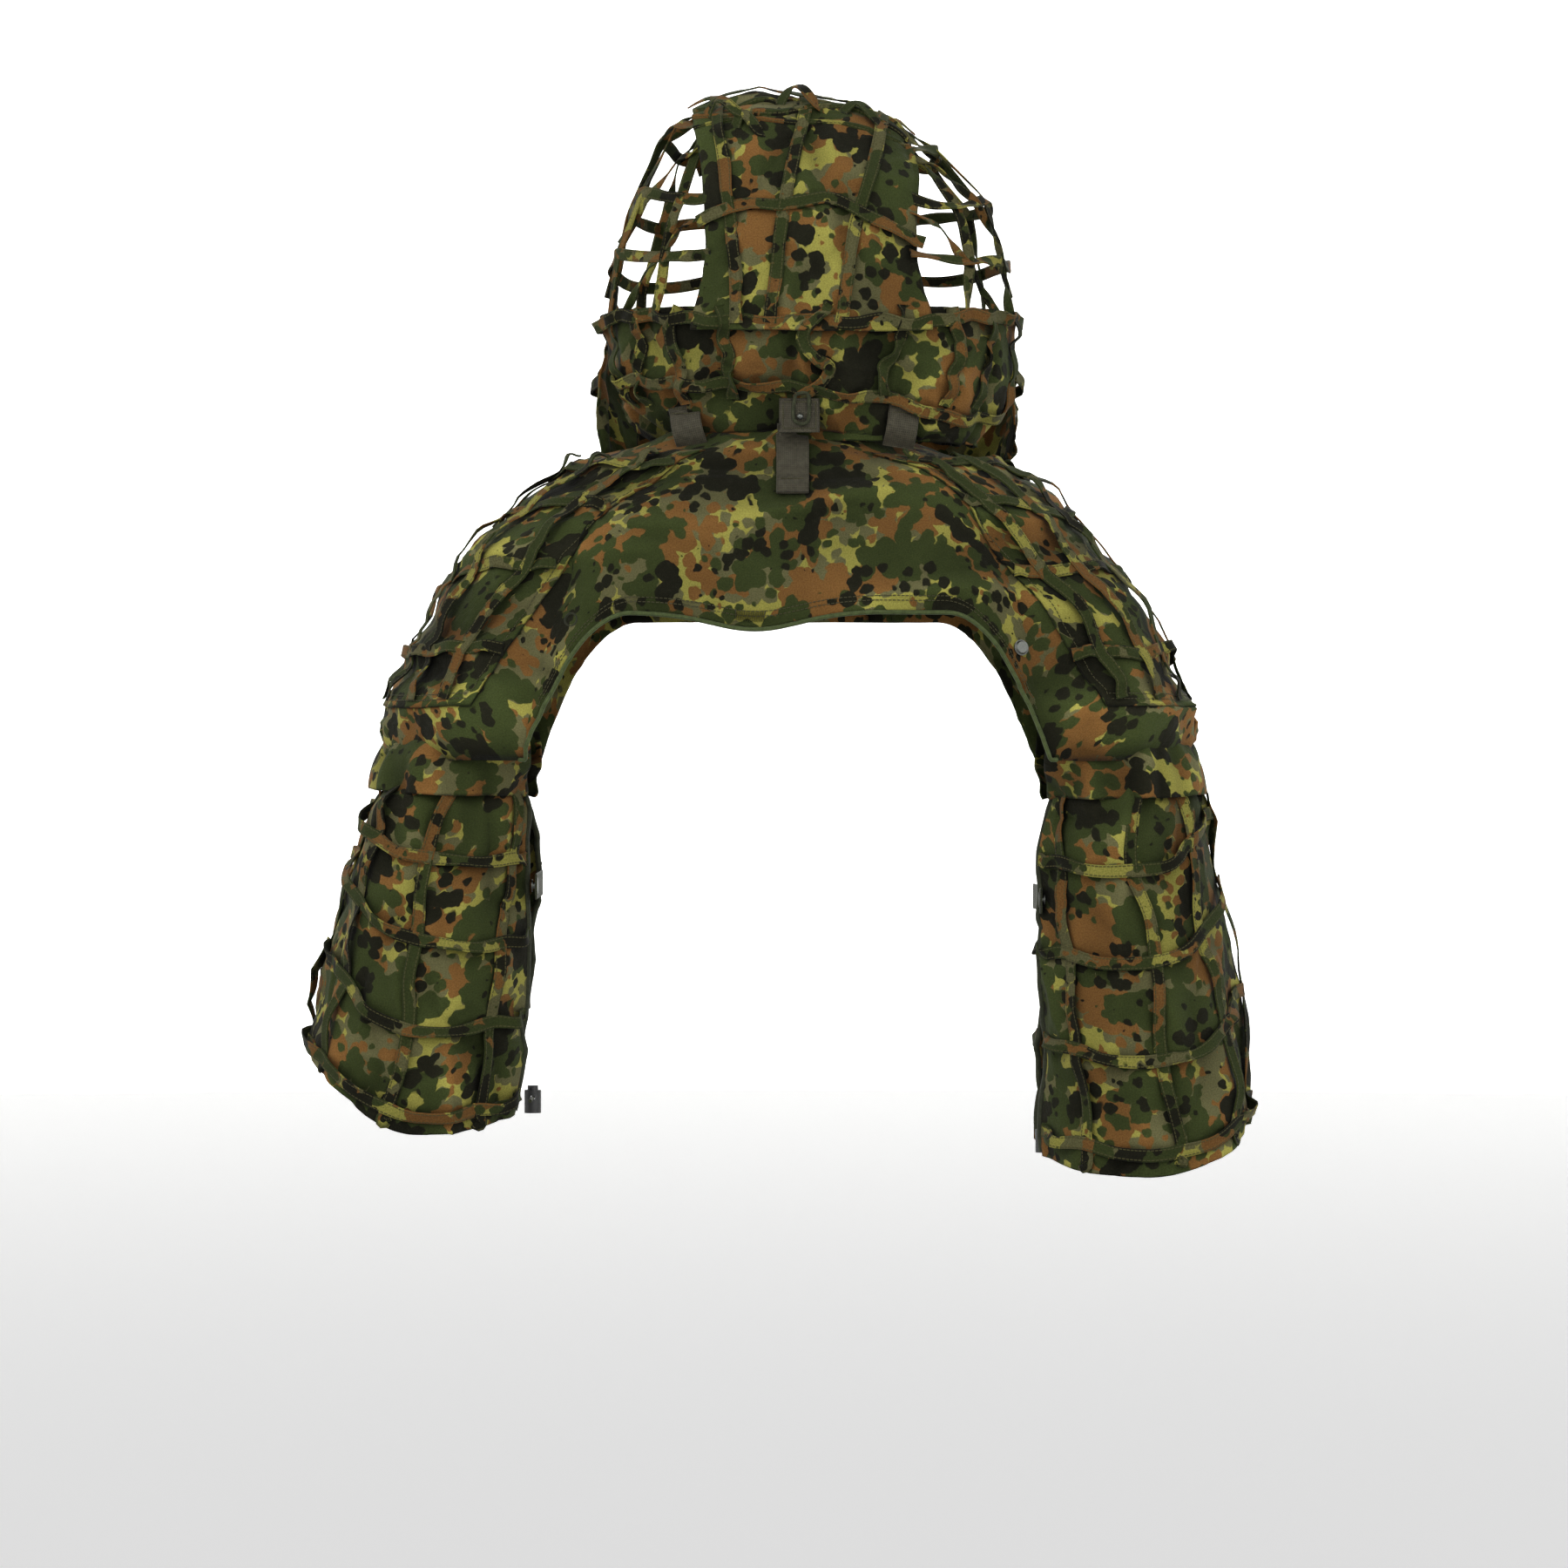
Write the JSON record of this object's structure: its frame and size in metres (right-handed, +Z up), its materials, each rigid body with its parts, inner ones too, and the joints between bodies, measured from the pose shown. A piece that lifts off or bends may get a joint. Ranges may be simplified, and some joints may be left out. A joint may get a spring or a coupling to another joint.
{
  "type": "ghillie suit",
  "caption": "Hooded camouflage shoulder cape with side nets, tape lattice and open half sleeves, worn over clothing to hold natural garnish.",
  "frame": {"origin": "seat of the neck: centre of the neck opening at the height of the back neck seam", "axes": "+Z up, +Y the way the wearer faces, +X to the wearer's right"},
  "size_m": [0.7183, 0.2798, 0.8369],
  "materials": {
    "camo_cloth": "spot camouflage cotton twill",
    "tape_cloth": "folded cotton tape",
    "webbing": "woven nylon webbing",
    "binding": "bias binding",
    "mesh": "knitted mesh",
    "elastic": "braided elastic",
    "stud_steel": "nickel plated",
    "spring_steel": "drawn wire",
    "lock_plastic": "moulded nylon"
  },
  "bodies": {
    "cape": {"back_yoke": "camo_cloth", "front_panel_left": "camo_cloth", "front_panel_right": "camo_cloth", "yoke_binding": "binding", "neck_mesh": "mesh", "shoulder_patch_left": "camo_cloth", "shoulder_patch_right": "camo_cloth", "shoulder_tapes_over_left": "tape_cloth", "shoulder_tapes_over_right": "tape_cloth", "shoulder_tapes_down_left": "tape_cloth", "shoulder_tapes_down_right": "tape_cloth", "centre_strap": "webbing", "front_studs": "stud_steel", "underarm_stud_right": "stud_steel", "thread_loop_left": "elastic"},
    "flap": {"front_flap": "camo_cloth", "flap_stud_caps": "stud_steel"},
    "hood": {"hood_panel": "camo_cloth", "hood_skirt": "camo_cloth", "front_drape": "camo_cloth", "brim_binding": "binding", "hood_tapes_down": "tape_cloth", "hood_tapes_across": "tape_cloth", "net_hoops_left": "tape_cloth", "net_hoops_right": "tape_cloth", "net_rows_left": "tape_cloth", "net_rows_right": "tape_cloth", "nape_patch": "webbing", "nape_loop": "elastic", "nape_bead": "stud_steel", "crown_loops": "webbing", "webbing_loops": "webbing"},
    "sleeve_left": {"armhole_gather_left": "camo_cloth", "sleeve_left": "camo_cloth", "sleeve_hem_left": "tape_cloth", "sleeve_tapes_down_left": "tape_cloth", "sleeve_tapes_across_left": "tape_cloth", "sleeve_edges_left": "binding", "strap_stud_left": "stud_steel", "hem_cord_left": "elastic"},
    "strap_left": {"inner_strap_left": "elastic", "strap_cap_left": "stud_steel"},
    "lock_left": {"lock_body_left": "lock_plastic", "lock_spring_left": "spring_steel"},
    "plunger_left": {"lock_plunger_left": "lock_plastic"},
    "sleeve_right": {"armhole_gather_right": "camo_cloth", "sleeve_right": "camo_cloth", "sleeve_hem_right": "tape_cloth", "sleeve_tapes_down_right": "tape_cloth", "sleeve_tapes_across_right": "tape_cloth", "sleeve_edges_right": "binding", "strap_stud_right": "stud_steel", "hem_cord_right": "elastic"},
    "strap_right": {"inner_strap_right": "elastic", "strap_cap_right": "stud_steel"},
    "lock_right": {"lock_body_right": "lock_plastic", "lock_spring_right": "spring_steel"},
    "plunger_right": {"lock_plunger_right": "lock_plastic"}
  },
  "joints": [
    {"name": "hood_fold", "type": "hinge", "parent": "cape", "child": "hood", "pos_m": [0, -0.1, 0.014], "axis": [1, 0, 0], "range_deg": [0, 90]},
    {"name": "flap_open", "type": "hinge", "parent": "cape", "child": "flap", "pos_m": [0.094, 0.1395, -0.09], "axis": [0, 0, -1], "range_deg": [0, 110]},
    {"name": "sleeve_raise_left", "type": "hinge", "parent": "cape", "child": "sleeve_left", "pos_m": [-0.3245, 0, -0.248], "axis": [0, 1, 0], "range_deg": [0, 65]},
    {"name": "strap_open_left", "type": "hinge", "parent": "sleeve_left", "child": "strap_left", "pos_m": [-0.1966, 0.0618, -0.3417], "axis": [0, 0, 1], "range_deg": [0, 110]},
    {"name": "lock_slide_left", "type": "slide", "parent": "sleeve_left", "child": "lock_left", "axis": [0, 1, 0], "range_m": [-0.02, 0.02]},
    {"name": "lock_press_left", "type": "slide", "parent": "lock_left", "child": "plunger_left", "axis": [0, 0, -1], "range_m": [0, 0.0035], "stiffness_N_per_m": 600, "springref_m": -0.002, "deforming": ["lock_spring_left"]},
    {"name": "sleeve_raise_right", "type": "hinge", "parent": "cape", "child": "sleeve_right", "pos_m": [0.3245, 0, -0.248], "axis": [0, -1, 0], "range_deg": [0, 65]},
    {"name": "strap_open_right", "type": "hinge", "parent": "sleeve_right", "child": "strap_right", "pos_m": [0.1966, 0.0618, -0.3525], "axis": [0, 0, -1], "range_deg": [0, 110]},
    {"name": "lock_slide_right", "type": "slide", "parent": "sleeve_right", "child": "lock_right", "axis": [0, 1, 0], "range_m": [-0.02, 0.02]},
    {"name": "lock_press_right", "type": "slide", "parent": "lock_right", "child": "plunger_right", "axis": [0, 0, -1], "range_m": [0, 0.0035], "stiffness_N_per_m": 600, "springref_m": -0.002, "deforming": ["lock_spring_right"]}
  ]
}
